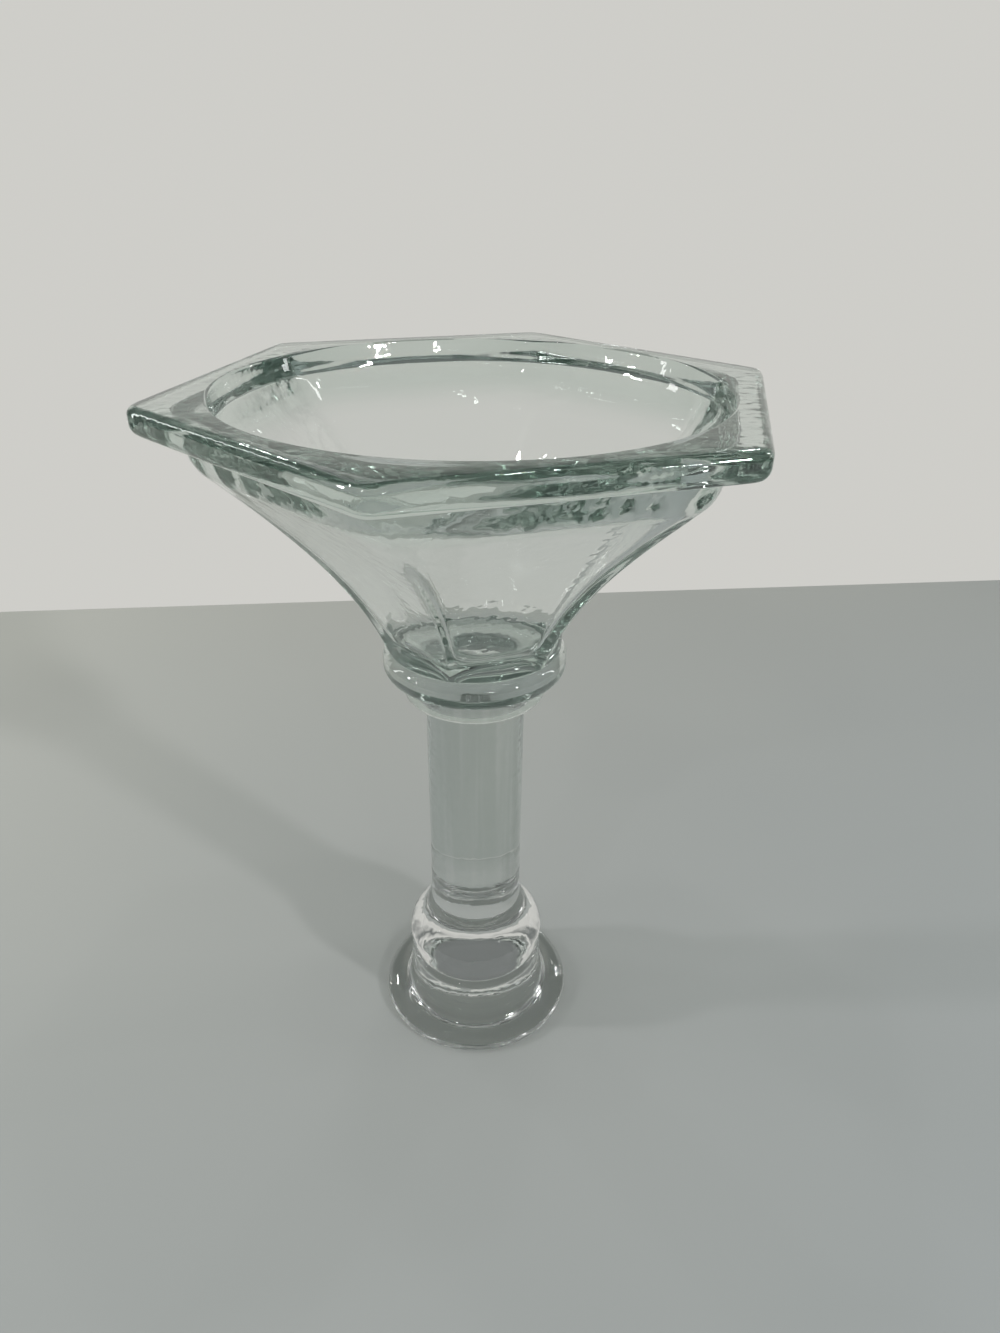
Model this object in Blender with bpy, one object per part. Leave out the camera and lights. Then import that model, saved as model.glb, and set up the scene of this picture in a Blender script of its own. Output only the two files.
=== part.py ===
"""Pedestal votive holder of clear pressed glass: a six-sided flared bowl on a turned glass pedestal.

The holder is a stack of separate glass pieces on one upright axis. From the table up they are the bell
foot, the knop, the stem, the wafer, the collar and the bowl. Each piece sits on the one below, centred by
a short round spigot in a shallow socket, with a thin bond line all round.

Units are metres, +Z is up, and the origin is the centre of the foot's underside.
Two corners of the six-sided rim lie on the X axis.
"""

import math

import bmesh
import bpy
from mathutils import Matrix, Vector

MM = 0.001

# Joints: every piece keeps the bond line to its neighbour
BOND = 0.3 * MM
SPIGOT_RADIUS = 8.0 * MM
SPIGOT_HEIGHT = 3.5 * MM
SOCKET_FLOOR = 0.5 * MM

# Foot: a bell with a flared edge, hollow underneath so that it stands on a ring
FOOT_RADIUS = 31.0 * MM
FOOT_HEIGHT = 20.5 * MM
FOOT_NECK_RADIUS = 21.8 * MM
FOOT_EDGE_HEIGHT = 3.0 * MM
FOOT_EDGE_FILLET = 1.2 * MM
FOOT_SHOULDER_HEIGHT = 10.0 * MM
FOOT_SHOULDER_FILLET = 2.0 * MM
FOOT_STANDING_WIDTH = 8.5 * MM
FOOT_CROWN = 4.5 * MM

# Knop: the pear-shaped swelling between the foot and the stem
KNOP_RADIUS = 22.0 * MM
KNOP_HEIGHT = 33.1 * MM
KNOP_BELLY_HEIGHT = 6.5 * MM
KNOP_BASE_INSET = 1.9 * MM
KNOP_NECK_LENGTH = 10.0 * MM

# Stem: a plain solid rod
STEM_RADIUS = 14.4 * MM
STEM_LENGTH = 65.4 * MM
STEM_END_FILLET = 0.6 * MM

# Wafer: the small disc on top of the stem
WAFER_OVERHANG = 6.0 * MM
WAFER_THICKNESS = 7.4 * MM
WAFER_FILLET = 1.6 * MM

# Collar: the thick ring with a shallow cup that takes the boss under the bowl
COLLAR_OVERHANG = 1.5 * MM
COLLAR_HEIGHT = 7.6 * MM
COLLAR_CUP_DEPTH = 5.2 * MM
COLLAR_TOP_FILLET = 3.4 * MM
COLLAR_BOTTOM_FILLET = 2.6 * MM
COLLAR_LIP_FILLET = 0.4 * MM

# Bowl: a round base that holds a candle 38 mm across, six flared panels and a stepped six-sided rim
CANDLE_FLOOR_RADIUS = 20.0 * MM
CANDLE_FLOOR_FILLET = 2.5 * MM
BOWL_WALL = 4.5 * MM
WALL_GAIN = 3.0 * MM
BOSS_SHOULDER = 2.2 * MM
BOSS_FILLET = 0.5 * MM
FLOOR_THICKNESS = 9.0 * MM
BASE_HEIGHT = 2.0 * MM
FLARE_HEIGHT = 54.0 * MM
FLARE_START_INSET = 2.3 * MM
STEP_HEIGHT = 7.6 * MM
STEP_FILLET = 2.2 * MM
STEP_INSET = 7.0 * MM
STEP_TAPER = 2.0 * MM
RIM_HALF_FLATS = 70.0 * MM
RIM_THICKNESS = 7.0 * MM
RIM_TOP_FILLET = 2.2 * MM
RIM_BOTTOM_FILLET = 2.8 * MM
RIM_WIDTH = 7.2 * MM
LIP_DEPTH = 4.2 * MM
LIP_FILLET = 0.8 * MM
LIP_TAPER = 1.0 * MM
LEDGE_WIDTH = 1.4 * MM
LEDGE_DROP = 2.2 * MM
INSIDE_CRISP_DROP = 12.0 * MM

# The flare's bend: where its control point lies, as shares of the flare's own width and height
FLARE_BEND_OUT = 0.247
FLARE_BEND_UP = 0.5

# How crisp the six corners are: 2 is a circle, and larger is closer to a sharp hexagon
ROUND = 2.0
RIM_SHARPNESS = 60.0
STEP_SHARPNESS = 18.0
PANEL_SHARPNESS = 46.0
LEDGE_SHARPNESS = 6.0
INSIDE_SHARPNESS = 14.0

# Fineness of the meshes
SIDES = 6
POINTS_PER_HALF_SIDE = 6
CORNER_CROWDING = 1.8
TURNED_SEGMENTS = 40
FILLET_STEPS = 3
FLARE_STEPS = 9
BELLY_STEPS = 5
HOLLOW_STEPS = 5
MERGE_DISTANCE = 0.001 * MM

# Heights of the stack, each from the piece below it
KNOP_BOTTOM = FOOT_HEIGHT + BOND
STEM_BOTTOM = KNOP_BOTTOM + KNOP_HEIGHT + BOND
WAFER_BOTTOM = STEM_BOTTOM + STEM_LENGTH + BOND
COLLAR_BOTTOM = WAFER_BOTTOM + WAFER_THICKNESS + BOND
COLLAR_TOP = COLLAR_BOTTOM + COLLAR_HEIGHT
BOSS_BOTTOM = COLLAR_TOP - COLLAR_CUP_DEPTH + BOND
BASE_BOTTOM = COLLAR_TOP + BOND
FLARE_BOTTOM = BASE_BOTTOM + BASE_HEIGHT
FLARE_TOP = FLARE_BOTTOM + FLARE_HEIGHT
STEP_TOP = FLARE_TOP + STEP_HEIGHT
RIM_TOP = STEP_TOP + RIM_THICKNESS
CANDLE_FLOOR = BOSS_BOTTOM + FLOOR_THICKNESS

# Radii that follow from their neighbours
SOCKET_RADIUS = SPIGOT_RADIUS + BOND
SOCKET_DEPTH = SPIGOT_HEIGHT + SOCKET_FLOOR
WAFER_RADIUS = STEM_RADIUS + WAFER_OVERHANG
BASE_RADIUS = CANDLE_FLOOR_RADIUS + BOWL_WALL
BOSS_RADIUS = BASE_RADIUS - BOSS_SHOULDER
COLLAR_CUP_RADIUS = BOSS_RADIUS + BOND
COLLAR_RADIUS = BASE_RADIUS + COLLAR_OVERHANG
OPENING_RADIUS = RIM_HALF_FLATS - RIM_WIDTH
STEP_HALF_FLATS = RIM_HALF_FLATS - STEP_INSET
FLARE_TOP_HALF_FLATS = STEP_HALF_FLATS - STEP_TAPER
FLARE_BOTTOM_HALF_FLATS = BASE_RADIUS - FLARE_START_INSET


def clear_scene():
    """Removes whatever the open file holds."""
    for old in list(bpy.data.objects):
        bpy.data.objects.remove(old, do_unlink=True)


def glass(name, tint):
    """Clear polished glass with a faint tint."""
    material = bpy.data.materials.new(name)
    material.use_nodes = True
    shader = material.node_tree.nodes["Principled BSDF"]
    shader.inputs["Base Color"].default_value = (*tint, 1.0)
    shader.inputs["Metallic"].default_value = 0.0
    shader.inputs["Roughness"].default_value = 0.03
    shader.inputs["IOR"].default_value = 1.52
    shader.inputs["Transmission Weight"].default_value = 1.0
    return material


def add_piece(name, shape, material):
    """Turns a finished bmesh into a named object of the holder."""
    bmesh.ops.remove_doubles(shape, verts=shape.verts, dist=MERGE_DISTANCE)
    bmesh.ops.recalc_face_normals(shape, faces=shape.faces)
    mesh = bpy.data.meshes.new(name)
    shape.to_mesh(mesh)
    shape.free()
    mesh.shade_smooth()
    mesh.set_sharp_from_angle(angle=math.radians(35))
    mesh.materials.append(material)
    piece = bpy.data.objects.new(name, mesh)
    bpy.context.scene.collection.objects.link(piece)
    return piece


def fillet(before, corner, after, radius):
    """Points of the arc that rounds one corner of an outline, no longer than its two sides allow."""
    back = before - corner
    ahead = after - corner
    half_angle = back.angle(ahead) / 2
    reach = min(radius / math.tan(half_angle), back.length / 2, ahead.length / 2)
    radius = reach * math.tan(half_angle)
    middle = back.normalized() + ahead.normalized()
    centre = corner + middle.normalized() * radius / math.sin(half_angle)
    start = corner + back.normalized() * reach - centre
    end = corner + ahead.normalized() * reach - centre
    turn = start.angle_signed(end)
    steps = range(FILLET_STEPS + 1)
    return [centre + Matrix.Rotation(-turn * step / FILLET_STEPS, 2) @ start for step in steps]


def rounded(corners):
    """The outline through corners of (radius, height, fillet), with an arc at each corner that has a fillet."""
    places = [Vector(corner[:2]) for corner in corners]
    points = []
    for index, (_, _, radius) in enumerate(corners):
        if radius:
            after = places[(index + 1) % len(places)]
            points += fillet(places[index - 1], places[index], after, radius)
        else:
            points.append(places[index])
    return points


def arc_between(start, end, steps, bulge_out):
    """Points of a quarter ellipse from start to end, leaving start upright if bulge_out, or else level."""
    points = []
    for step in range(1, steps):
        turn = math.pi / 2 * step / steps
        along = 1 - math.cos(turn) if bulge_out else math.sin(turn)
        up = math.sin(turn) if bulge_out else 1 - math.cos(turn)
        points.append(Vector((start.x + (end.x - start.x) * along, start.y + (end.y - start.y) * up)))
    return points


def turned(name, outline, material, closed=False):
    """A piece turned about the Z axis from an outline of (radius, height) points."""
    shape = bmesh.new()
    verts = [shape.verts.new((point.x, 0.0, point.y)) for point in outline]
    pairs = list(zip(verts, verts[1:]))
    if closed:
        pairs.append((verts[-1], verts[0]))
    edges = [shape.edges.new(pair) for pair in pairs]
    bmesh.ops.spin(
        shape, geom=verts + edges, cent=(0, 0, 0), axis=(0, 0, 1), angle=math.tau, steps=TURNED_SEGMENTS,
        use_merge=True,
    )
    return add_piece(name, shape, material)


def spigot(base):
    """Corners of the round spigot that stands up from height base, ending on the axis."""
    return [(SPIGOT_RADIUS, base, 0), (SPIGOT_RADIUS, base + SPIGOT_HEIGHT, 0), (0.0, base + SPIGOT_HEIGHT, 0)]


def socket(base):
    """Corners of the socket cut up into an underside at height base, starting on the axis."""
    return [(0.0, base + SOCKET_DEPTH, 0), (SOCKET_RADIUS, base + SOCKET_DEPTH, 0), (SOCKET_RADIUS, base, 0)]


def bell_foot(material):
    """The flared foot. Its hollow is a dome that leaves a ring to stand on."""
    hollow_radius = FOOT_RADIUS - FOOT_STANDING_WIDTH
    hollow_top = Vector((0.0, FOOT_HEIGHT - FOOT_CROWN))
    hollow_edge = Vector((hollow_radius, 0.0))
    hollow = [hollow_edge, *arc_between(hollow_edge, hollow_top, HOLLOW_STEPS, True), hollow_top]
    edge = rounded([
        (hollow_radius, 0.0, 0),
        (FOOT_RADIUS, 0.0, FOOT_EDGE_FILLET),
        (FOOT_RADIUS, FOOT_EDGE_HEIGHT, FOOT_EDGE_FILLET),
        (FOOT_NECK_RADIUS, FOOT_EDGE_HEIGHT, 0),
    ])[1:-1]
    shoulder_start = Vector((FOOT_NECK_RADIUS, FOOT_HEIGHT - FOOT_SHOULDER_HEIGHT))
    flare = arc_between(edge[-1], shoulder_start, BELLY_STEPS, False)
    top = rounded([
        (*shoulder_start, 0),
        (FOOT_NECK_RADIUS, FOOT_HEIGHT, FOOT_SHOULDER_FILLET),
        *spigot(FOOT_HEIGHT),
    ])
    return turned("bell_foot", hollow[::-1] + edge + flare + top, material)


def stem_knop(material):
    """The pear-shaped knop: widest just above the foot, and drawn in to the stem's width at its top."""
    top = KNOP_BOTTOM + KNOP_HEIGHT
    belly = Vector((KNOP_RADIUS, KNOP_BOTTOM + KNOP_BELLY_HEIGHT))
    base = Vector((KNOP_RADIUS - KNOP_BASE_INSET, KNOP_BOTTOM))
    neck = Vector((STEM_RADIUS, top - KNOP_NECK_LENGTH))
    underside = [Vector(corner[:2]) for corner in socket(KNOP_BOTTOM)]
    lower = [base, *arc_between(base, belly, BELLY_STEPS, False), belly]
    upper = []
    for step in range(1, 2 * BELLY_STEPS):
        share = step / (2 * BELLY_STEPS)
        sweep = (1 + math.cos(math.pi * share)) / 2
        upper.append(Vector((neck.x + (belly.x - neck.x) * sweep, belly.y + (neck.y - belly.y) * share)))
    crown = [neck, Vector((STEM_RADIUS, top))]
    cup = [
        Vector((SOCKET_RADIUS, top)),
        Vector((SOCKET_RADIUS, top - SOCKET_DEPTH)),
        Vector((0.0, top - SOCKET_DEPTH)),
    ]
    return turned("stem_knop", underside + lower + upper + crown + cup, material)


def stem_rod(material):
    """The plain rod, with a spigot at each end."""
    top = STEM_BOTTOM + STEM_LENGTH
    outline = rounded([
        (0.0, STEM_BOTTOM - SPIGOT_HEIGHT, 0),
        (SPIGOT_RADIUS, STEM_BOTTOM - SPIGOT_HEIGHT, 0),
        (SPIGOT_RADIUS, STEM_BOTTOM, 0),
        (STEM_RADIUS, STEM_BOTTOM, STEM_END_FILLET),
        (STEM_RADIUS, top, STEM_END_FILLET),
        *spigot(top),
    ])
    return turned("stem_rod", outline, material)


def stem_wafer(material):
    """The small disc between the stem and the collar. Its spigot fills the hole in the collar's floor."""
    top = WAFER_BOTTOM + WAFER_THICKNESS
    spigot_top = BOSS_BOTTOM - BOND
    outline = rounded([
        *socket(WAFER_BOTTOM),
        (WAFER_RADIUS, WAFER_BOTTOM, WAFER_FILLET),
        (WAFER_RADIUS, top, 0),
        (SPIGOT_RADIUS, top, 0),
        (SPIGOT_RADIUS, spigot_top, 0),
        (0.0, spigot_top, 0),
    ])
    return turned("stem_wafer", outline, material)


def bowl_collar(material):
    """The thick rounded ring under the bowl, cupped to take the bowl's boss."""
    cup_floor = COLLAR_TOP - COLLAR_CUP_DEPTH
    outline = rounded([
        (SOCKET_RADIUS, COLLAR_BOTTOM, 0),
        (COLLAR_RADIUS, COLLAR_BOTTOM, COLLAR_BOTTOM_FILLET),
        (COLLAR_RADIUS, COLLAR_TOP, COLLAR_TOP_FILLET),
        (COLLAR_CUP_RADIUS, COLLAR_TOP, COLLAR_LIP_FILLET),
        (COLLAR_CUP_RADIUS, cup_floor, 0),
        (SOCKET_RADIUS, cup_floor, 0),
    ])
    return turned("bowl_collar", outline, material, closed=True)


def ring_angles():
    """Angles round the bowl, crowded towards the six corners, the first of which is at angle 0."""
    half_side = math.pi / SIDES
    angles = []
    for side in range(SIDES):
        for step in range(1 - POINTS_PER_HALF_SIDE, POINTS_PER_HALF_SIDE + 1):
            share = abs(step) / POINTS_PER_HALF_SIDE
            angles.append(2 * half_side * side + math.copysign(half_side * share ** CORNER_CROWDING, step))
    return angles


def six_sided(angle, half_flats, sharpness):
    """Radius at an angle of a six-sided ring: half_flats in the middle of each side, more at its corners."""
    reach = 0.0
    for side in range(SIDES):
        facing = math.cos(angle - math.tau * (side + 0.5) / SIDES)
        reach += max(0.0, facing) ** sharpness
    mid_side = 1 + 2 * math.cos(math.tau / SIDES) ** sharpness
    return half_flats * (reach / mid_side) ** (-1 / sharpness)


def between(first, last, share):
    """A sharpness part of the way from one to another, in even ratios."""
    return first * (last / first) ** share


def flare_point(share):
    """(half across flats, height) at a share of the way up the panels, on a curve with one control point."""
    width = FLARE_TOP_HALF_FLATS - FLARE_BOTTOM_HALF_FLATS
    foot = Vector((FLARE_BOTTOM_HALF_FLATS, FLARE_BOTTOM))
    bend = foot + Vector((width * FLARE_BEND_OUT, FLARE_HEIGHT * FLARE_BEND_UP))
    head = Vector((FLARE_TOP_HALF_FLATS, FLARE_TOP))
    return foot * (1 - share) ** 2 + bend * 2 * share * (1 - share) + head * share ** 2


def bowl_outside():
    """Rings of (half across flats, height, sharpness) up the outside of the bowl, from the boss to the rim."""
    rings = [(*point, ROUND) for point in rounded([
        (0.0, BOSS_BOTTOM, 0),
        (BOSS_RADIUS, BOSS_BOTTOM, BOSS_FILLET),
        (BOSS_RADIUS, BASE_BOTTOM, 0),
        (BASE_RADIUS, BASE_BOTTOM, BOSS_FILLET),
        (BASE_RADIUS, FLARE_BOTTOM, 0),
    ])[1:]]
    for step in range(1, FLARE_STEPS):
        share = step / FLARE_STEPS
        rings.append((*flare_point(share), between(PANEL_SHARPNESS, STEP_SHARPNESS, share ** 5)))
    under_step = rings[-1][:2]
    slab = rounded([
        (*under_step, 0),
        (FLARE_TOP_HALF_FLATS, FLARE_TOP, STEP_FILLET),
        (STEP_HALF_FLATS, STEP_TOP, 0),
        (RIM_HALF_FLATS, STEP_TOP, 0),
    ])[1:-1]
    rim = rounded([
        (STEP_HALF_FLATS, STEP_TOP, 0),
        (RIM_HALF_FLATS, STEP_TOP, RIM_BOTTOM_FILLET),
        (RIM_HALF_FLATS, RIM_TOP, RIM_TOP_FILLET),
        (OPENING_RADIUS, RIM_TOP, 0),
    ])[1:-1]
    rings += [(*point, STEP_SHARPNESS) for point in slab]
    return rings + [(*point, RIM_SHARPNESS) for point in rim]


def bowl_inside():
    """Rings down the inside of the bowl: round at the lip, six-sided lower down, and round at the floor."""
    lip_radius = OPENING_RADIUS - LIP_TAPER
    lip_bottom = RIM_TOP - LIP_DEPTH
    lip = rounded([
        (RIM_HALF_FLATS, RIM_TOP, 0),
        (OPENING_RADIUS, RIM_TOP, LIP_FILLET),
        (lip_radius, lip_bottom, 0),
        (0.0, lip_bottom, 0),
    ])[1:-1]
    funnel = [(lip_radius - LEDGE_WIDTH, lip_bottom - LEDGE_DROP, LEDGE_SHARPNESS)]
    for step in range(FLARE_STEPS, 0, -1):
        share = step / FLARE_STEPS
        panel = flare_point(share)
        half_flats = panel.x - BOWL_WALL - WALL_GAIN * share
        if half_flats > CANDLE_FLOOR_RADIUS and panel.y > CANDLE_FLOOR + CANDLE_FLOOR_FILLET:
            crisp = min(1.0, (FLARE_TOP - panel.y) / INSIDE_CRISP_DROP)
            funnel.append((half_flats, panel.y, between(INSIDE_SHARPNESS, PANEL_SHARPNESS, crisp)))
    well = rounded([
        (*funnel[-1][:2], 0),
        (CANDLE_FLOOR_RADIUS, CANDLE_FLOOR, CANDLE_FLOOR_FILLET),
        (0.0, CANDLE_FLOOR, 0),
    ])[1:-1]
    return [(*point, ROUND) for point in lip] + funnel + [(*point, ROUND) for point in well]


def hexagon_bowl(material):
    """The bowl: a disc under the boss, drawn up ring by ring outside, over the rim and down to the floor."""
    angles = ring_angles()
    shape = bmesh.new()
    first, *others = [(*ring, BASE_RADIUS) for ring in bowl_outside()]
    others += [(*ring, CANDLE_FLOOR_RADIUS) for ring in bowl_inside()]
    made = bmesh.ops.create_circle(shape, cap_ends=True, segments=len(angles), radius=first[0])
    ring = sorted(made["verts"], key=lambda vert: math.atan2(vert.co.y, vert.co.x) % math.tau)
    edges = list(shape.edges)
    order = sorted(angles, key=lambda angle: angle % math.tau)

    def place(verts, half_flats, height, sharpness, round_part):
        for vert, angle in zip(verts, order):
            radius = six_sided(angle, half_flats, sharpness)
            if sharpness > ROUND:
                radius = max(radius, round_part)
            vert.co = (radius * math.cos(angle), radius * math.sin(angle), height)

    place(ring, *first)
    for section in others:
        grown = bmesh.ops.extrude_edge_only(shape, edges=edges)["geom"]
        edges = [item for item in grown if isinstance(item, bmesh.types.BMEdge)]
        new = {item for item in grown if isinstance(item, bmesh.types.BMVert)}
        edges = [edge for edge in edges if all(vert in new for vert in edge.verts)]
        ring = [next(e.other_vert(v) for e in v.link_edges if e.other_vert(v) in new) for v in ring]
        place(ring, *section)
    bmesh.ops.contextual_create(shape, geom=edges)
    return add_piece("hexagon_bowl", shape, material)


def main():
    clear_scene()
    green_glass = glass("green_tinted_glass", (0.80, 0.90, 0.85))
    white_glass = glass("white_glass", (0.90, 0.93, 0.92))
    bell_foot(white_glass)
    stem_knop(white_glass)
    stem_rod(white_glass)
    stem_wafer(white_glass)
    bowl_collar(green_glass)
    hexagon_bowl(green_glass)


main()
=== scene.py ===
# %% [markdown]
# # A pedestal votive holder in clear glass
#
# The holder is six pieces of glass on one upright axis: a bell foot, a pear-shaped knop, a plain stem, a
# small wafer, a thick collar and a six-sided flared bowl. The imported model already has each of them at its
# real size. Here each one is made again with rounder edges, and gets a glass that bends light as the real
# one does.

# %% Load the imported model
import math

import bmesh
import bpy
from mathutils import Matrix, Vector


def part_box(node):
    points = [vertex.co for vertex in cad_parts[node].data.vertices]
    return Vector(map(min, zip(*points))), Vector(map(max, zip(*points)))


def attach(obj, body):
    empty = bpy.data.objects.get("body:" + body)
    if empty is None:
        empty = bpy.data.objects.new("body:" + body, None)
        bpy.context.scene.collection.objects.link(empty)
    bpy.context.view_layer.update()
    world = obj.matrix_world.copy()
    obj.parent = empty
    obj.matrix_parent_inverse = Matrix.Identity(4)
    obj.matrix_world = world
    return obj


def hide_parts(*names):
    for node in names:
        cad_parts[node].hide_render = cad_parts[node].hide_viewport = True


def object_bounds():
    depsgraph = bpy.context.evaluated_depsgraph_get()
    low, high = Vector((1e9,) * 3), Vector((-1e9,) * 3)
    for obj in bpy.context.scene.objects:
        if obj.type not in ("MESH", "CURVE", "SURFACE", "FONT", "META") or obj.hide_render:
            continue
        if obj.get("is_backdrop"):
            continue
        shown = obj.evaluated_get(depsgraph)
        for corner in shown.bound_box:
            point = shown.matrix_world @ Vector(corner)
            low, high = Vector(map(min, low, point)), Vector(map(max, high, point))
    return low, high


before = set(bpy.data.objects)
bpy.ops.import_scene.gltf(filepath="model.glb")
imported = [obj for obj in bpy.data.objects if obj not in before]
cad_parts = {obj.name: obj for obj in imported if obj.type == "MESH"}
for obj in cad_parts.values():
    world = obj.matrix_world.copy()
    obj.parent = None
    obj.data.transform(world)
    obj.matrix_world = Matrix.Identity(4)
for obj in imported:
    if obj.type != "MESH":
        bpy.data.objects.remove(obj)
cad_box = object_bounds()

MM = 0.001
scene = bpy.context.scene
for corner in cad_box:
    print("CAD box corner, mm:", [round(side / MM, 1) for side in corner])

# %% [markdown]
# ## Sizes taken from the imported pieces
#
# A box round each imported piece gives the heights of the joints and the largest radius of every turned
# piece. They could be typed in again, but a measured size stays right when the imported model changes. The
# spigots are hidden inside the joints, so their size is the one number here that no box shows.


# %% Measure the stack
def heights(node):
    low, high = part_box(node)
    return low.z, high.z


def widest(node):
    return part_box(node)[1].x


FOOT_RADIUS = widest("bell_foot")
KNOP_RADIUS = widest("stem_knop")
STEM_RADIUS = widest("stem_rod")
WAFER_RADIUS = widest("stem_wafer")
COLLAR_RADIUS = widest("bowl_collar")
RIM_HALF_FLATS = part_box("hexagon_bowl")[1].y
KNOP_BOTTOM, KNOP_TOP = heights("stem_knop")
COLLAR_BOTTOM, COLLAR_TOP = heights("bowl_collar")
BOSS_BOTTOM, RIM_TOP = heights("hexagon_bowl")
SPIGOT_HEIGHT = 3.5 * MM
SPIGOT_RADIUS = 8.0 * MM
BOND = 0.3 * MM
FOOT_TOP = KNOP_BOTTOM - BOND
STEM_BOTTOM = KNOP_TOP + BOND
STEM_TOP = heights("stem_rod")[1] - SPIGOT_HEIGHT
WAFER_BOTTOM = STEM_TOP + BOND
WAFER_TOP = COLLAR_BOTTOM - BOND
joint_heights = (FOOT_TOP, KNOP_TOP, STEM_TOP, WAFER_TOP, COLLAR_TOP)
print("joint heights, mm:", [round(height / MM, 1) for height in joint_heights])

# %% [markdown]
# ## Shader maths in plain expressions
#
# A material is a graph of nodes. Written out node by node it is long and hard to read, so one small class
# wraps an output socket and lets sums be written as Python expressions. Every other node comes from a
# single method, which sets the node up, fills its sockets and hands back the output that is wanted.


# %% A socket that understands arithmetic
class Wire:
    """An output socket. Sums and products of wires add Math nodes to their own node tree."""

    def __init__(self, socket):
        self.socket = socket
        self.tree = socket.id_data

    @staticmethod
    def node(tree, kind, settings, sockets, output=0):
        made = tree.nodes.new(kind)
        for name, setting in settings.items():
            setattr(made, name, setting)
        for place, value in sockets.items():
            feed(made.inputs[place], value)
        return Wire(made.outputs[output])

    def combine(self, operation, left, right):
        return Wire.node(self.tree, "ShaderNodeMath", {"operation": operation}, {0: left, 1: right})

    def __add__(self, other):
        return self.combine("ADD", self, other)

    def __sub__(self, other):
        return self.combine("SUBTRACT", self, other)

    def __rsub__(self, other):
        return self.combine("SUBTRACT", other, self)

    def __mul__(self, other):
        return self.combine("MULTIPLY", self, other)

    __radd__ = __add__
    __rmul__ = __mul__


def feed(socket, value):
    """Gives an input socket a link, if the value is a wire, or else a plain value."""
    if isinstance(value, Wire):
        value.tree.links.new(value.socket, socket)
    else:
        socket.default_value = value


print("one class makes every node:", Wire.__name__)

# %% [markdown]
# ## Patterns
#
# Four small helpers are enough for every pattern on this object: noise, one coordinate of a place, a rise
# from 0 to 1 between two limits, and a mix of two colours. Naming them keeps the materials below short.


# %% Pattern helpers
def noise(place, scale, detail):
    sockets = {"Vector": place, "Scale": scale, "Detail": detail}
    return Wire.node(place.tree, "ShaderNodeTexNoise", {}, sockets, "Fac")


def along(place, axis):
    return Wire.node(place.tree, "ShaderNodeSeparateXYZ", {}, {"Vector": place}, axis)


def rise(value, low, high, curve="LINEAR"):
    sockets = {"Value": value, "From Min": low, "From Max": high}
    return Wire.node(value.tree, "ShaderNodeMapRange", {"interpolation_type": curve}, sockets)


def mixed_colour(share, first, last):
    """The Mix node has a pair of inputs for each kind of data, and its colours are numbers 6 and 7."""
    return Wire.node(share.tree, "ShaderNodeMix", {"data_type": "RGBA"}, {0: share, 6: first, 7: last}, 2)


print("patterns:", [helper.__name__ for helper in (noise, along, rise, mixed_colour)])

# %% [markdown]
# ## Pressed glass
#
# The holder is pressed glass: clear, with a faint tint where it is thick, and polished by flame. Its
# surface is never quite flat. The mould leaves a slow ripple and the flame a finer one, and both break
# highlights up into short wavering streaks. A plain glass shader looks like a drawing of glass, so noise
# drives a slight bump, and smudges from handling lift the roughness here and there.
#
# Glass that is tinted all through gets deeper in colour the farther light travels in it. An absorbing volume
# does that, so a thick rim comes out greener than a thin wall. Light that reaches the table through the
# glass would be a slow, noisy caustic, so shadow rays meet a plain transparent shader instead, tinted a
# little grey.


# %% The recipe for a glass
GLASS_IOR = 1.52
SHADOW_TINT = (0.72, 0.735, 0.72, 1.0)
DEPTH_TINT = (0.54, 0.655, 0.60, 1.0)
TINT_FADE = 6.0 * MM
MOULD_SCALE = 28.0
FLAME_SCALE = 300.0
FLAME_SHARE = 0.2
SMUDGE_SCALE = 55.0
SMUDGE_ROUGHNESS = 0.03
PAINTED_STREAK_SCALE = 320.0
PAINTED_STREAK_STRETCH = (1.0, 1.0, 0.03)
BUMP_STRENGTH = 0.35


def glass_relief(here, ripple, deep_part_and_painted_shade, ripple_depth, flame_gain):
    """Mould ripple with flame ripple on it. The flame works harder on the upper, deeper-tinted glass by
    flame_gain.
    """
    flame = noise(here, FLAME_SCALE, 1.0) * (deep_part_and_painted_shade * flame_gain + FLAME_SHARE)
    height = ripple * (1.0 - FLAME_SHARE) + flame
    sockets = {"Strength": BUMP_STRENGTH, "Distance": ripple_depth, "Height": height}
    return Wire.node(here.tree, "ShaderNodeBump", {}, sockets)


def glass_tint(here, ripple, deep_part_and_painted_shade, thin_tint, deep_tint_and_painted_shade, painted_light_streaks):
    """Thin tint to deep tint. Upright streaks of painted light and shade cross the upper part where
    painted_light_streaks is set.
    """
    share = deep_part_and_painted_shade * 0.9 + ripple * 0.1
    # painted light: upright streaks of lighter and darker tint stand in for light running down the stem
    if painted_light_streaks:
        streak_place = Wire.node(here.tree, "ShaderNodeMapping", {}, {"Vector": here, "Scale": PAINTED_STREAK_STRETCH})
        share = share + deep_part_and_painted_shade * (noise(streak_place, PAINTED_STREAK_SCALE, 2.0) - 0.5) * painted_light_streaks
    return mixed_colour(share, (*thin_tint, 1.0), (*deep_tint_and_painted_shade, 1.0))


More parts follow.
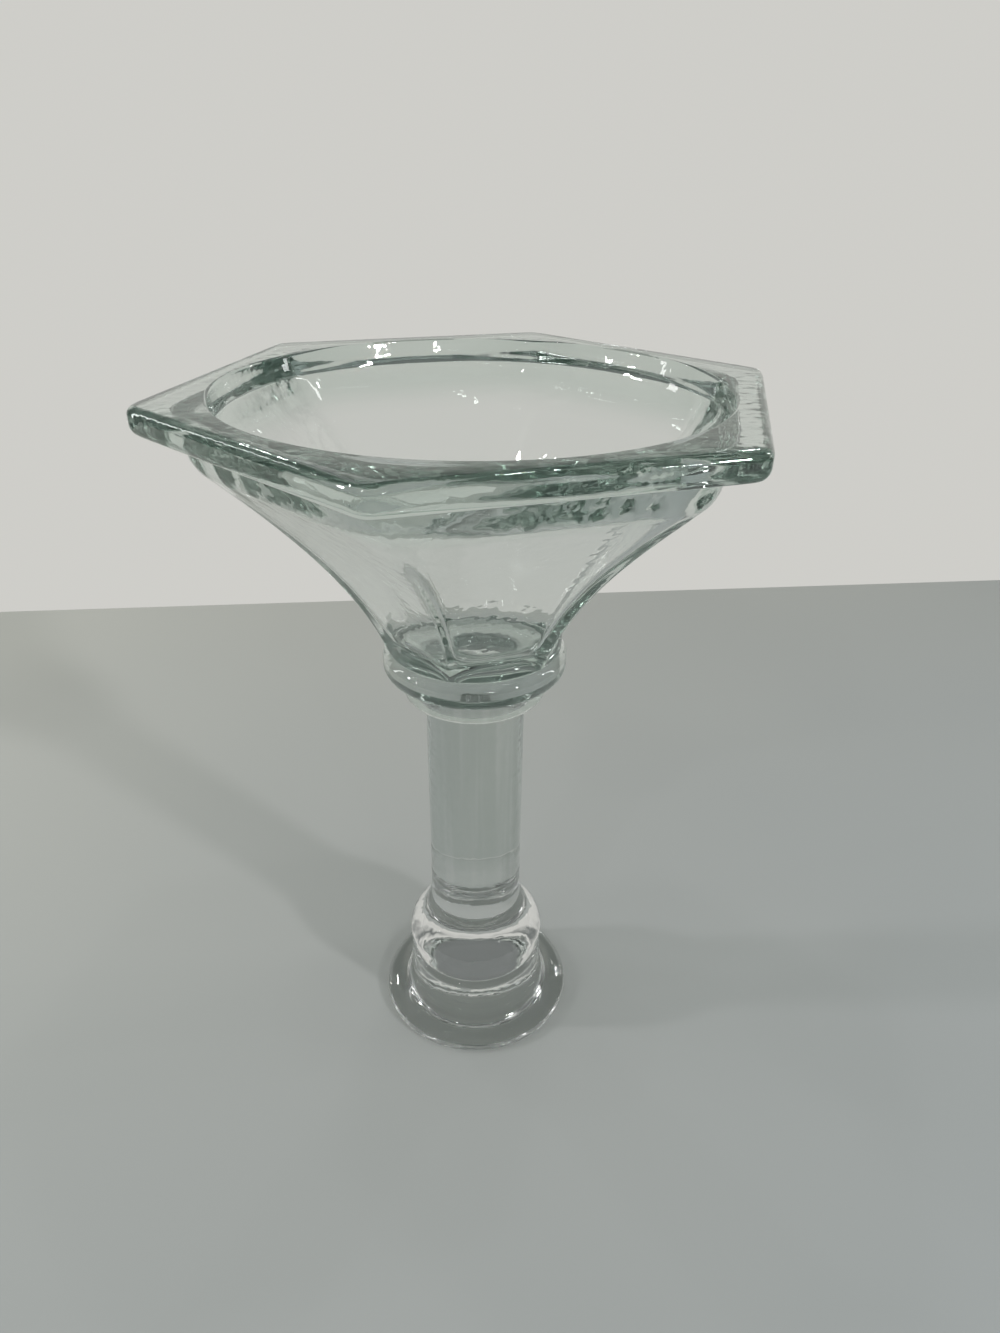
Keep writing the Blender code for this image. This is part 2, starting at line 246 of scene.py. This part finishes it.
def pressed_glass(
    name, thin_tint, deep_tint_and_painted_shade, upper_tint_from, ripple_depth, density=0.0, flame_gain=0.0, painted_light_streaks=0.0
):
    """A glass with its deep tint above the height upper_tint_from, and a depth tint where it has a density.
    """
    material = bpy.data.materials.new(name)
    material.use_nodes = True
    tree = material.node_tree
    tree.nodes.clear()
    here = Wire.node(tree, "ShaderNodeTexCoord", {}, {}, "Object")
    ripple = noise(here, MOULD_SCALE, 1.0)
    deep_part_and_painted_shade = rise(along(here, "Z"), upper_tint_from - TINT_FADE, upper_tint_from)
    glass = Wire.node(tree, "ShaderNodeBsdfPrincipled", {}, {
        "Base Color": glass_tint(here, ripple, deep_part_and_painted_shade, thin_tint, deep_tint_and_painted_shade, painted_light_streaks),
        "Roughness": noise(here, SMUDGE_SCALE, 4.0) * SMUDGE_ROUGHNESS,
        "IOR": GLASS_IOR,
        "Transmission Weight": 1.0,
        "Normal": glass_relief(here, ripple, deep_part_and_painted_shade, ripple_depth, flame_gain),
    })
    clear = Wire.node(tree, "ShaderNodeBsdfTransparent", {}, {"Color": SHADOW_TINT})
    in_shadow = Wire.node(tree, "ShaderNodeLightPath", {}, {}, "Is Shadow Ray")
    output = tree.nodes.new("ShaderNodeOutputMaterial")
    surface = Wire.node(tree, "ShaderNodeMixShader", {}, {0: in_shadow, 1: glass, 2: clear})
    feed(output.inputs["Surface"], surface)
    if density:
        depth = Wire.node(tree, "ShaderNodeVolumeAbsorption", {}, {"Color": DEPTH_TINT, "Density": density})
        feed(output.inputs["Volume"], depth)
    return material


print("glass bends light by an index of", GLASS_IOR)

# %% [markdown]
# ## Three glasses
#
# The bowl is a green-grey glass that deepens in the rim. The collar is greyer and more rippled. The
# pedestal is whiter, with a clear foot and knop; its stem's grey tint is painted shade, streaked with
# painted light and shade. One recipe makes all three, so they stay alike in everything but tint, ripple and
# depth.

# %% Make the glasses
green_glass = pressed_glass(
    "green_pressed_glass", (0.98, 0.99, 0.985), (0.80, 0.86, 0.83), RIM_TOP - 12.0 * MM,
    ripple_depth=0.55 * MM, density=16.0, flame_gain=0.35,
)
collar_glass = pressed_glass(
    "collar_pressed_glass", (0.70, 0.75, 0.725), (0.84, 0.88, 0.86), COLLAR_TOP,
    ripple_depth=1.3 * MM, density=10.0,
)
# painted shade: the grey tint above STEM_BOTTOM darkens the stem, and the streaks down it are painted light
# and shade
white_glass = pressed_glass(
    "white_pressed_glass", (0.98, 0.99, 0.985), (0.70, 0.745, 0.72), STEM_BOTTOM,
    ripple_depth=1.4 * MM, painted_light_streaks=2.4,
)
print("glasses:", green_glass.name, collar_glass.name, white_glass.name)

# %% [markdown]
# ## Bonded faces
#
# Where two pieces are joined, the real glass is in full contact, so light goes straight across the joint.
# Two modelled faces with a hair of air between them would act as a mirror instead. The faces inside the
# pedestal's joints therefore get a material that lets everything through unbent. The bowl and the collar
# keep glass on every face, because an absorbing volume has to be closed all round.

# %% Make the bond
bonded_face = bpy.data.materials.new("bonded_face")
bonded_face.use_nodes = True
bonded_face.node_tree.nodes["Principled BSDF"].inputs["Alpha"].default_value = 0.0
print("bond:", bonded_face.name)

# %% [markdown]
# ## From a shape to a piece
#
# Every shape ends in the same way: its doubles are merged, its faces are turned outwards and shaded smooth,
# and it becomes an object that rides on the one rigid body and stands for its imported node. A function does
# that once for all six pieces.

# %% Finish a piece
MERGE_DISTANCE = 0.002 * MM


def finish_piece(name, node, shape, glass, bonded=None):
    """Makes the shape a piece of glass. bonded tells by radius and height which faces lie inside a joint."""
    bmesh.ops.remove_doubles(shape, verts=shape.verts, dist=MERGE_DISTANCE)
    bmesh.ops.recalc_face_normals(shape, faces=shape.faces)
    for face in shape.faces:
        face.smooth = True
        middle = face.calc_center_median()
        if bonded and bonded(middle.xy.length, middle.z):
            face.material_index = 1
    mesh = bpy.data.meshes.new(name)
    shape.to_mesh(mesh)
    shape.free()
    mesh.materials.append(glass)
    if bonded:
        mesh.materials.append(bonded_face)
    piece = bpy.data.objects.new(name, mesh)
    scene.collection.objects.link(piece)
    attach(piece, "root")
    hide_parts(node)
    print(name, "has", len(mesh.polygons), "faces")


print("doubles are merged within", MERGE_DISTANCE / MM, "mm")

# %% [markdown]
# ## Turned pieces
#
# Every piece but the bowl is round, as if turned on a lathe. A few corner points give the outline, a spin
# makes the body, and a bevel of its own radius then rounds each edge. Drawing each round edge by hand would
# give the same shape, but with many more numbers.

# %% A lathe
LATHE_STEPS = 128
EDGE_STEPS = 8
HAIR = 0.05 * MM
RING_MATCH = 0.005 * MM


def bevel_ring(shape, ring, edge_radius):
    bmesh.ops.bevel(
        shape, geom=ring, offset=edge_radius, segments=EDGE_STEPS, profile=0.5, affect="EDGES", material=-1
    )


def ring_at(shape, radius, height):
    def on_ring(vert):
        return abs(vert.co.z - height) < RING_MATCH and abs(vert.co.xy.length - radius) < RING_MATCH

    return [edge for edge in shape.edges if all(on_ring(vert) for vert in edge.verts)]


def turn(outline, closed=False):
    """Spins an outline of (radius, height, edge radius) corners, and bevels each that has an edge radius."""
    shape = bmesh.new()
    verts = [shape.verts.new((radius, 0.0, height)) for radius, height, edge_radius in outline]
    pairs = list(zip(verts, verts[1:]))
    if closed:
        pairs.append((verts[-1], verts[0]))
    lines = [shape.edges.new(pair) for pair in pairs]
    bmesh.ops.spin(
        shape, geom=verts + lines, cent=(0, 0, 0), axis=(0, 0, 1), angle=math.tau,
        steps=LATHE_STEPS, use_merge=True,
    )
    bmesh.ops.remove_doubles(shape, verts=shape.verts, dist=MERGE_DISTANCE)
    for radius, height, edge_radius in outline:
        if edge_radius:
            bevel_ring(shape, ring_at(shape, radius, height), edge_radius)
    return shape


print("lathe ready:", LATHE_STEPS, "steps round,", EDGE_STEPS, "steps in each rounded edge")

# %% [markdown]
# ## Outlines that come back
#
# Three runs of corners are used again and again: a quarter of an ellipse for each flowing curve, and the
# spigot and the socket that centre one piece on the next. The socket is wider than the spigot by one bond.

# %% Curves, spigots and sockets
SOCKET_RADIUS = SPIGOT_RADIUS + BOND
SOCKET_DEPTH = SPIGOT_HEIGHT + 0.5 * MM


def quarter(start, end, steps, upright):
    """Points of a quarter ellipse between two corners. It leaves the first upright, or else level."""
    points = []
    for step in range(1, steps):
        turned = math.pi / 2 * step / steps
        out = 1 - math.cos(turned) if upright else math.sin(turned)
        up = math.sin(turned) if upright else 1 - math.cos(turned)
        points.append((start[0] + (end[0] - start[0]) * out, start[1] + (end[1] - start[1]) * up, 0))
    return points


def spigot(base, top):
    return [(SPIGOT_RADIUS, base, 0), (SPIGOT_RADIUS, top, 0), (0.0, top, 0)]


def socket(base, roof):
    return [(0.0, roof, 0), (SOCKET_RADIUS, roof, 0), (SOCKET_RADIUS, base, 0)]


print("spigot and socket radius, mm:", SPIGOT_RADIUS / MM, SOCKET_RADIUS / MM)

# %% [markdown]
# ## The bell foot
#
# The foot flares to a thin round edge and is hollow underneath, so it stands on a ring. Its flare is a
# quarter of an ellipse that starts level at the edge and runs up into a short drum, and the hollow is a
# dome.

# %% Turn the foot
FOOT_NECK_RADIUS = 21.8 * MM
FOOT_BOND_RADIUS = 19.8 * MM
FOOT_EDGE_HEIGHT = 3.0 * MM
FOOT_EDGE_ROUND = 1.2 * MM
FOOT_TOP_EDGE_ROUND = 1.15 * MM
FOOT_HOLLOW_ROUND = 0.6 * MM
FOOT_HOLLOW_RADIUS = FOOT_RADIUS - 8.5 * MM
FOOT_HOLLOW_TOP = FOOT_TOP - 4.5 * MM
FOOT_DRUM_BOTTOM = FOOT_TOP - 10.0 * MM
FOOT_CURVE_STEPS = 20

hollow = quarter((FOOT_HOLLOW_RADIUS, 0.0), (0.0, FOOT_HOLLOW_TOP), FOOT_CURVE_STEPS, True)
foot_edge = (FOOT_RADIUS - FOOT_EDGE_ROUND, FOOT_EDGE_HEIGHT)
foot = turn([
    (0.0, FOOT_HOLLOW_TOP, 0),
    *hollow[::-1],
    (FOOT_HOLLOW_RADIUS, 0.0, FOOT_HOLLOW_ROUND),
    (FOOT_RADIUS, 0.0, FOOT_EDGE_ROUND),
    (FOOT_RADIUS, FOOT_EDGE_HEIGHT, FOOT_TOP_EDGE_ROUND),
    *quarter(foot_edge, (FOOT_NECK_RADIUS, FOOT_DRUM_BOTTOM), FOOT_CURVE_STEPS, False),
    (FOOT_NECK_RADIUS, FOOT_DRUM_BOTTOM, 0),
    (FOOT_NECK_RADIUS, FOOT_TOP, FOOT_NECK_RADIUS - FOOT_BOND_RADIUS),
    *spigot(FOOT_TOP, FOOT_TOP + SPIGOT_HEIGHT),
])
finish_piece(
    "foot_glass", "bell_foot", foot, white_glass,
    lambda radius, z: z > FOOT_TOP - HAIR,
)

# %% [markdown]
# ## The knop
#
# The knop swells out just above the foot and draws in to the stem's width. Half a cosine wave gives that
# pear shape with no flat spots, where a stack of straight cones would show a ring at every change of slope.

# %% Turn the knop
KNOP_BELLY = (KNOP_RADIUS, KNOP_BOTTOM + 6.5 * MM)
KNOP_BASE = (KNOP_RADIUS - 1.9 * MM, KNOP_BOTTOM)
KNOP_NECK = (STEM_RADIUS, KNOP_TOP - 10.0 * MM)
STEM_BOND_RADIUS = STEM_RADIUS - 0.05 * MM
BELLY_STEPS = 12
PEAR_STEPS = 28

pear = []
for step in range(1, PEAR_STEPS):
    share = step / PEAR_STEPS
    swell = (1 + math.cos(math.pi * share)) / 2
    radius = KNOP_NECK[0] + (KNOP_BELLY[0] - KNOP_NECK[0]) * swell
    pear.append((radius, KNOP_BELLY[1] + (KNOP_NECK[1] - KNOP_BELLY[1]) * share, 0))
knop = turn([
    *socket(KNOP_BOTTOM, KNOP_BOTTOM + SOCKET_DEPTH),
    (*KNOP_BASE, KNOP_BASE[0] - FOOT_BOND_RADIUS),
    *quarter(KNOP_BASE, KNOP_BELLY, BELLY_STEPS, False),
    (*KNOP_BELLY, 0),
    *pear,
    (*KNOP_NECK, 0),
    (STEM_RADIUS, KNOP_TOP, STEM_RADIUS - STEM_BOND_RADIUS),
    *socket(KNOP_TOP, KNOP_TOP - SOCKET_DEPTH)[::-1],
])
finish_piece(
    "knop_glass", "stem_knop", knop, white_glass,
    lambda radius, z: radius < SOCKET_RADIUS + HAIR or z < KNOP_BOTTOM + HAIR or z > KNOP_TOP - HAIR,
)

# %% [markdown]
# ## The stem and the wafer
#
# The stem is a plain solid rod with a spigot at each end. The wafer is a small disc on top of it, and its
# own spigot passes through the collar. Both are short outlines, so a cylinder with insets would be no
# simpler.

# %% Turn the stem
stem = turn([
    *spigot(STEM_BOTTOM, STEM_BOTTOM - SPIGOT_HEIGHT)[::-1],
    (STEM_RADIUS, STEM_BOTTOM, STEM_RADIUS - STEM_BOND_RADIUS),
    (STEM_RADIUS, STEM_TOP, STEM_RADIUS - STEM_BOND_RADIUS),
    *spigot(STEM_TOP, STEM_TOP + SPIGOT_HEIGHT),
])
finish_piece(
    "stem_glass", "stem_rod", stem, white_glass,
    lambda radius, z: z < STEM_BOTTOM + HAIR or z > STEM_TOP - HAIR,
)

# %% Turn the wafer
WAFER_ROUND = 1.6 * MM
COLLAR_CUP_FLOOR = BOSS_BOTTOM - BOND

wafer = turn([
    *socket(WAFER_BOTTOM, WAFER_BOTTOM + SOCKET_DEPTH),
    (STEM_BOND_RADIUS, WAFER_BOTTOM, 0),
    (WAFER_RADIUS, WAFER_BOTTOM, WAFER_ROUND),
    (WAFER_RADIUS, WAFER_TOP, 0),
    *spigot(WAFER_TOP, COLLAR_CUP_FLOOR),
])
finish_piece(
    "wafer_glass", "stem_wafer", wafer, white_glass,
    lambda radius, z: radius < STEM_BOND_RADIUS + HAIR or z > WAFER_TOP - HAIR,
)

# %% [markdown]
# ## The collar
#
# The collar is the thick rounded ring under the bowl, with a shallow cup that the bowl's boss sits in. It
# has a hole for the wafer's spigot, so its outline is closed and doesn't reach the axis.

# %% Turn the collar
COLLAR_CUP_RADIUS = 22.6 * MM
COLLAR_BOTTOM_ROUND = 2.6 * MM
COLLAR_TOP_ROUND = 2.9 * MM
COLLAR_LIP_ROUND = 0.4 * MM

collar = turn([
    (SOCKET_RADIUS, COLLAR_BOTTOM, 0),
    (WAFER_RADIUS, COLLAR_BOTTOM, 0),
    (COLLAR_RADIUS, COLLAR_BOTTOM, COLLAR_BOTTOM_ROUND),
    (COLLAR_RADIUS, COLLAR_TOP, COLLAR_TOP_ROUND),
    (COLLAR_CUP_RADIUS, COLLAR_TOP, COLLAR_LIP_ROUND),
    (COLLAR_CUP_RADIUS, COLLAR_CUP_FLOOR, 0),
    (SOCKET_RADIUS, COLLAR_CUP_FLOOR, 0),
], closed=True)
finish_piece("collar_glass", "bowl_collar", collar, collar_glass)

# %% [markdown]
# ## The bowl, ring by ring
#
# The bowl starts round at its base and becomes six-sided as it flares. Its rim is a thick six-sided slab
# with a round opening, over a second and smaller slab. One ring of edges is drawn up from the base, over
# the rim and down inside to the floor. At each stop the ring is given its new radius, height and crispness
# of corners, so the round and the six-sided parts are one continuous skin. Joining a round bowl to a
# hexagon with a Boolean would leave ragged shading at the seam, which glass shows at once.
#
# One formula covers both shapes. A crispness of 2 makes a circle, and a high one a hexagon with tight
# corners.

# %% The shape of one ring
SIDES = 6
HALF_SIDE_POINTS = 16
CORNER_CROWDING = 1.7
BASE_BLEND = 60.0
ROUND = 2.0


def ring_angles():
    """Angles round the bowl, crowded towards its six corners."""
    half_side = math.pi / SIDES
    angles = []
    for side in range(SIDES):
        for step in range(1 - HALF_SIDE_POINTS, HALF_SIDE_POINTS + 1):
            share = abs(step) / HALF_SIDE_POINTS
            aside = math.copysign(half_side * share ** CORNER_CROWDING, step)
            angles.append((2 * half_side * side + aside) % math.tau)
    return sorted(angles)


def six_sided(angle, half_flats, crisp):
    """Radius of a six-sided ring with soft corners: half_flats at the middle of each side."""
    turns = [angle - math.tau * (side + 0.5) / SIDES for side in range(SIDES)]
    reach = sum(max(0.0, math.cos(turned)) ** crisp for turned in turns)
    mid_side = 1 + 2 * math.cos(math.tau / SIDES) ** crisp
    return half_flats * (reach / mid_side) ** (-1 / crisp)


def place_ring(ring, half_flats, height, crisp, round_part):
    """Moves a ring to its stop. A six-sided ring never gets narrower than the round part it grows from."""
    for vert, angle in zip(ring, angles):
        radius = six_sided(angle, half_flats, crisp)
        if crisp > ROUND:
            radius *= (1 + (round_part / radius) ** BASE_BLEND) ** (1 / BASE_BLEND)
        vert.co = (radius * math.cos(angle), radius * math.sin(angle), height)


angles = ring_angles()
print(len(angles), "points on each ring of the bowl")

# %% [markdown]
# ## The bowl's stops
#
# Each stop is a half width across flats, a height, a crispness and the radius of its rounded edge, where it
# has one. The panels follow one bent curve, made of three points as in a drawing program, and the inside
# follows the same curve, set in by the wall. The corners inside grow softer towards the rim, as they do in
# a pressed bowl.

# %% Sizes of the bowl
BOWL_WALL = 4.5 * MM
WALL_GAIN = 3.0 * MM
FLOOR_RADIUS = 20.0 * MM
BASE_RADIUS = FLOOR_RADIUS + BOWL_WALL
BOSS_RADIUS = COLLAR_CUP_RADIUS - BOND
BASE_BOTTOM = COLLAR_TOP + BOND
FLARE_BOTTOM = BASE_BOTTOM + 2.0 * MM
FLARE_TOP = FLARE_BOTTOM + 54.0 * MM
FLARE_START = BASE_RADIUS - 2.3 * MM
FLARE_BEND_OUT = 0.247
FLARE_BEND_UP = 0.5
STEP_TOP = FLARE_TOP + 7.6 * MM
CANDLE_FLOOR = BOSS_BOTTOM + 9.0 * MM
STEP_HALF_FLATS = RIM_HALF_FLATS - 7.0 * MM
PANEL_HALF_FLATS = STEP_HALF_FLATS - 2.0 * MM
OPENING_RADIUS = RIM_HALF_FLATS - 7.2 * MM
LIP_BOTTOM = RIM_TOP - 4.2 * MM
LIP_RADIUS = OPENING_RADIUS - 1.0 * MM
LEDGE = (LIP_RADIUS - 1.4 * MM, LIP_BOTTOM - 2.2 * MM)


def flare(share):
    """(half across flats, height) on the curve of the panels, from the base up to the step."""
    foot = Vector((FLARE_START, FLARE_BOTTOM))
    head = Vector((PANEL_HALF_FLATS, FLARE_TOP))
    bend = foot + Vector(((head.x - foot.x) * FLARE_BEND_OUT, (head.y - foot.y) * FLARE_BEND_UP))
    return foot * (1 - share) ** 2 + bend * 2 * share * (1 - share) + head * share ** 2


print("rim across flats, mm:", round(2 * RIM_HALF_FLATS / MM, 1))

# %% List the stops
RIM_CRISP = 60.0
STEP_CRISP = 18.0
PANEL_CRISP = 46.0
LEDGE_CRISP = 6.0
INSIDE_CRISP = 14.0
INSIDE_CRISP_DROP = 12.0 * MM
SOFTENING = 5
FLARE_STEPS = 36
ROOM_FOR_STEP_BEVEL = 2


def between(first, last, share):
    """A crispness part of the way from one to another, in even ratios."""
    return first * (last / first) ** share


outside = [
    (BOSS_RADIUS, BOSS_BOTTOM, ROUND, 0),
    (BOSS_RADIUS, BASE_BOTTOM, ROUND, 0.3 * MM),
    (BASE_RADIUS, BASE_BOTTOM, ROUND, 0.5 * MM),
]
for step in range(FLARE_STEPS - ROOM_FOR_STEP_BEVEL):
    share = step / FLARE_STEPS
    outside.append((*flare(share), between(PANEL_CRISP, STEP_CRISP, share ** SOFTENING), 0))
outside += [
    (PANEL_HALF_FLATS, FLARE_TOP, STEP_CRISP, 2.2 * MM),
    (STEP_HALF_FLATS, STEP_TOP, STEP_CRISP, 0.7 * MM),
    (RIM_HALF_FLATS, STEP_TOP, RIM_CRISP, 2.8 * MM),
    (RIM_HALF_FLATS, RIM_TOP, RIM_CRISP, 2.2 * MM),
    (OPENING_RADIUS, RIM_TOP, ROUND, 0.8 * MM),
    (LIP_RADIUS, LIP_BOTTOM, ROUND, 0.5 * MM),
    (*LEDGE, LEDGE_CRISP, 1.2 * MM),
]
inside = []
for step in range(FLARE_STEPS, 0, -1):
    share = step / FLARE_STEPS
    panel = flare(share)
    half_flats = panel.x - BOWL_WALL - WALL_GAIN * share
    if half_flats > FLOOR_RADIUS:
        drop = min(1.0, (FLARE_TOP - panel.y) / INSIDE_CRISP_DROP)
        inside.append((half_flats, panel.y, between(INSIDE_CRISP, PANEL_CRISP, drop), 0))
inside.append((FLOOR_RADIUS, CANDLE_FLOOR, ROUND, 2.5 * MM))
print(len(outside), "stops up to the ledge inside the rim,", len(inside), "down to the floor")

# %% [markdown]
# ## Drawing the bowl
#
# A disc is the underside of the boss. Its ring of edges is extruded once for each stop, and the last ring
# is filled to make the floor. Every ring's edges are kept, so that the sharp ones can be bevelled at the
# end, when all of their neighbours are in place.


# %% Draw the bowl up and round its edges
def extruded(shape, ring, edges):
    """Extrudes a ring of edges, and returns the new ring's vertices in the old order and its edges."""
    grown = bmesh.ops.extrude_edge_only(shape, edges=edges)["geom"]
    fresh = {item for item in grown if isinstance(item, bmesh.types.BMVert)}
    lines = [item for item in grown if isinstance(item, bmesh.types.BMEdge)]
    new_edges = [line for line in lines if fresh.issuperset(line.verts)]
    new_ring = []
    for vert in ring:
        above = [edge.other_vert(vert) for edge in vert.link_edges]
        new_ring.append(next(other for other in above if other in fresh))
    return new_ring, new_edges


bowl = bmesh.new()
disc = bmesh.ops.create_circle(bowl, cap_ends=True, segments=len(angles), radius=BOSS_RADIUS)
ring = sorted(disc["verts"], key=lambda vert: math.atan2(vert.co.y, vert.co.x) % math.tau)
edges = list(bowl.edges)
sharp_rings = []
stops = [(*stop, BASE_RADIUS) for stop in outside] + [(*stop, FLOOR_RADIUS) for stop in inside]
for index, (half_flats, height, crisp, edge_radius, round_part) in enumerate(stops):
    if index:
        ring, edges = extruded(bowl, ring, edges)
    place_ring(ring, half_flats, height, crisp, round_part)
    if edge_radius:
        sharp_rings.append((edges, edge_radius))
bmesh.ops.contextual_create(bowl, geom=edges)
for sharp_edges, edge_radius in sharp_rings:
    bevel_ring(bowl, sharp_edges, edge_radius)
finish_piece("bowl_glass", "hexagon_bowl", bowl, green_glass)

# %% [markdown]
# ## The table
#
# Glass has no colour of its own, so what it shows is its surroundings. The holder stands on a plain grey
# table. Its paint mixes two greys by place, with a soft cloud of noise: the far left is paler, a painted
# sheen of the wall, and the part near the viewer is darker, painted shade.

# %% Lay the table
# The near grey is painted shade and the far grey is a painted sheen of the wall.
NEAR_TABLE_PAINTED_SHADE = (0.28, 0.30, 0.30, 1.0)
FAR_TABLE_PAINTED_SHEEN = (0.41, 0.415, 0.38, 1.0)
VIEW_TURN = math.radians(-16.0)
TABLE_SKEW = math.radians(4.0)
TABLE_EDGE = 0.318
TABLE_HALF_WIDTH = 1.2
TABLE_DROP = 0.2 * MM


def table_paint_and_painted_light():
    material = bpy.data.materials.new("table_paint_and_painted_light")
    material.use_nodes = True
    shader = material.node_tree.nodes["Principled BSDF"]
    here = Wire.node(material.node_tree, "ShaderNodeTexCoord", {}, {}, "Object")
    # painted light: the mix runs from painted shade near the viewer to a painted sheen at the far left
    shade = along(here, "Y") * 1.6 - along(here, "X") * 0.6 + noise(here, 3.0, 2.0) * 0.4
    feed(shader.inputs["Base Color"], mixed_colour(shade + 0.15, NEAR_TABLE_PAINTED_SHADE, FAR_TABLE_PAINTED_SHEEN))
    feed(shader.inputs["Roughness"], 0.75)
    feed(shader.inputs["Specular IOR Level"], 0.2)
    return material


turn_to_view = Matrix.Rotation(VIEW_TURN, 4, "Z")
far_edge = Matrix.Translation((0, TABLE_EDGE - TABLE_HALF_WIDTH, -TABLE_DROP))
table_place = turn_to_view @ Matrix.Rotation(TABLE_SKEW, 4, "Z") @ far_edge
shape = bmesh.new()
bmesh.ops.create_grid(shape, x_segments=1, y_segments=1, size=TABLE_HALF_WIDTH, matrix=table_place)
table_mesh = bpy.data.meshes.new("table")
shape.to_mesh(table_mesh)
shape.free()
table_mesh.materials.append(table_paint_and_painted_light())
table = bpy.data.objects.new("table", table_mesh)
scene.collection.objects.link(table)
table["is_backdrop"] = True
print("table, m:", 2 * TABLE_HALF_WIDTH, "square, with its far edge", TABLE_EDGE, "behind the holder")

# %% [markdown]
# ## Lamps
#
# Two lamps do most of the lighting, from the front right and from the left. They hang low, so each draws a
# long shadow of the stem on the table. A dozen weaker lamps are there for the sparkle: every small lamp
# shows as a point of light on each curved edge of the glass. One large lamp would give the same brightness
# with no sparkle.

# %% Hang the lamps
KEY = (0.08, 0.08)
SMALL = (0.05, 0.05)
OVERHEAD = (0.06, 0.06)
STRIP = (0.05, 0.7)
LAMPS_AIM = (0.0, 0.0, 0.12)
LAMPS = {
    "front_right": ((0.88, -0.73, 0.62), KEY, 11.0),
    "front_right_low": ((0.8, -0.8, 0.55), SMALL, 0.7),
    "front_low": ((0.35, -1.0, 0.6), SMALL, 0.7),
    "left": ((-1.1, -0.02, 0.6), KEY, 7.0),
    "left_low": ((-1.1, -0.35, 0.5), SMALL, 0.7),
    "left_high": ((-0.8, 0.15, 0.95), SMALL, 0.7),
    "left_strip": ((-0.95, 0.3, 0.42), STRIP, 0.9),
    "right_strip": ((0.95, 0.25, 0.42), STRIP, 0.9),
    "overhead_left": ((-0.25, 0.2, 1.2), OVERHEAD, 0.8),
    "overhead_right": ((0.3, 0.1, 1.2), OVERHEAD, 0.8),
    "front_left": ((-0.45, -0.8, 0.9), SMALL, 0.9),
    "right": ((1.0, 0.1, 0.7), SMALL, 0.8),
    "back_left": ((-0.6, 0.8, 0.9), SMALL, 0.9),
    "back_right": ((0.5, 0.9, 0.9), SMALL, 0.9),
}

aim = turn_to_view @ Vector(LAMPS_AIM)
for name, (place, size, power) in LAMPS.items():
    light = bpy.data.lights.new(name, "AREA")
    light.shape = "RECTANGLE"
    light.size, light.size_y = size
    light.energy = power
    lamp = bpy.data.objects.new(name, light)
    scene.collection.objects.link(lamp)
    lamp.location = turn_to_view @ Vector(place)
    lamp.rotation_euler = (aim - lamp.location).to_track_quat("-Z", "Y").to_euler()
print(len(LAMPS), "lamps,", sum(power for place, size, power in LAMPS.values()), "W in all")

# %% [markdown]
# ## The room
#
# Behind the table is a plain pale wall, and the rest of the room is dim. That difference is what draws the
# dark lines along every edge of clear glass, where the light is bent in from the side. A wall could be
# modelled as a sheet, but a world that is pale in one direction lights the glass in the same way and casts
# no shadow.

# %% Paint the room
WALL_COLOUR = (0.62, 0.615, 0.585, 1.0)
FRONT_COLOUR = (0.07, 0.075, 0.07, 1.0)
CEILING_COLOUR = (0.17, 0.18, 0.175, 1.0)
WALL_FADE = (0.5, 0.78)
CEILING_FADE = (0.25, 0.5)

world = bpy.data.worlds.new("room")
world.use_nodes = True
scene.world = world
direction = Wire.node(world.node_tree, "ShaderNodeTexCoord", {}, {}, "Generated")
behind = along(direction, "Y") * math.cos(VIEW_TURN) - along(direction, "X") * math.sin(VIEW_TURN)
sides = mixed_colour(rise(behind, *WALL_FADE, "SMOOTHSTEP"), FRONT_COLOUR, WALL_COLOUR)
above = rise(along(direction, "Z"), *CEILING_FADE, "SMOOTHSTEP")
feed(world.node_tree.nodes["Background"].inputs["Color"], mixed_colour(above, sides, CEILING_COLOUR))
print("world:", scene.world.name)

# %% [markdown]
# ## Light in thick glass
#
# A ray that enters the rim can be reflected inside it dozens of times before it leaves. With few bounces it
# is cut off and leaves a black patch, so the limits are raised. Caustics stay off: they would take far
# longer than the rest of the picture, and the tinted shadow stands in for them.

# %% Set the light paths
BOUNCES = 64
CLEAR_LAYERS = 48

scene.cycles.max_bounces = BOUNCES
scene.cycles.transmission_bounces = BOUNCES
scene.cycles.glossy_bounces = BOUNCES
scene.cycles.transparent_max_bounces = CLEAR_LAYERS
scene.cycles.caustics_reflective = False
scene.cycles.caustics_refractive = False
scene.view_settings.view_transform = "Standard"
print("bounces:", scene.cycles.max_bounces)

# %% [markdown]
# ## The camera
#
# The holder is seen from above its rim, close up, with a wide lens, so the rim looks large and the foot
# small. The camera stands a short way off and looks down. Turning it by hand until the picture fits would
# work too, but named angles can be read and changed one at a time.

# %% Set up the camera
LENS = 24.3
CLIP_START = 0.01
STAND_OFF = 0.2248
EYE_HEIGHT = 0.2544
PITCH = math.radians(29.52)
YAW = math.radians(-1.84)
ROLL = math.radians(0.66)

camera = bpy.data.objects.new("camera", bpy.data.cameras.new("camera"))
scene.collection.objects.link(camera)
camera.data.lens = LENS
camera.data.clip_start = CLIP_START
look_down = Matrix.Rotation(math.pi / 2 - PITCH, 4, "X")
look = Matrix.Rotation(YAW, 4, "Z") @ look_down @ Matrix.Rotation(ROLL, 4, "Z")
camera.matrix_world = turn_to_view @ Matrix.Translation((0, -STAND_OFF, EYE_HEIGHT)) @ look
scene.camera = camera
print("camera lens, mm:", camera.data.lens)

# %% [markdown]
# ## The box of the new pieces
#
# The new pieces have to fill the same space as the imported ones. Their box is printed here, as the imported
# box was at the start, so that a piece that has grown or shrunk shows.

# %% Print the new box
visual_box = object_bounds()
for corner in visual_box:
    print("visual box corner, mm:", [round(side / MM, 1) for side in corner])
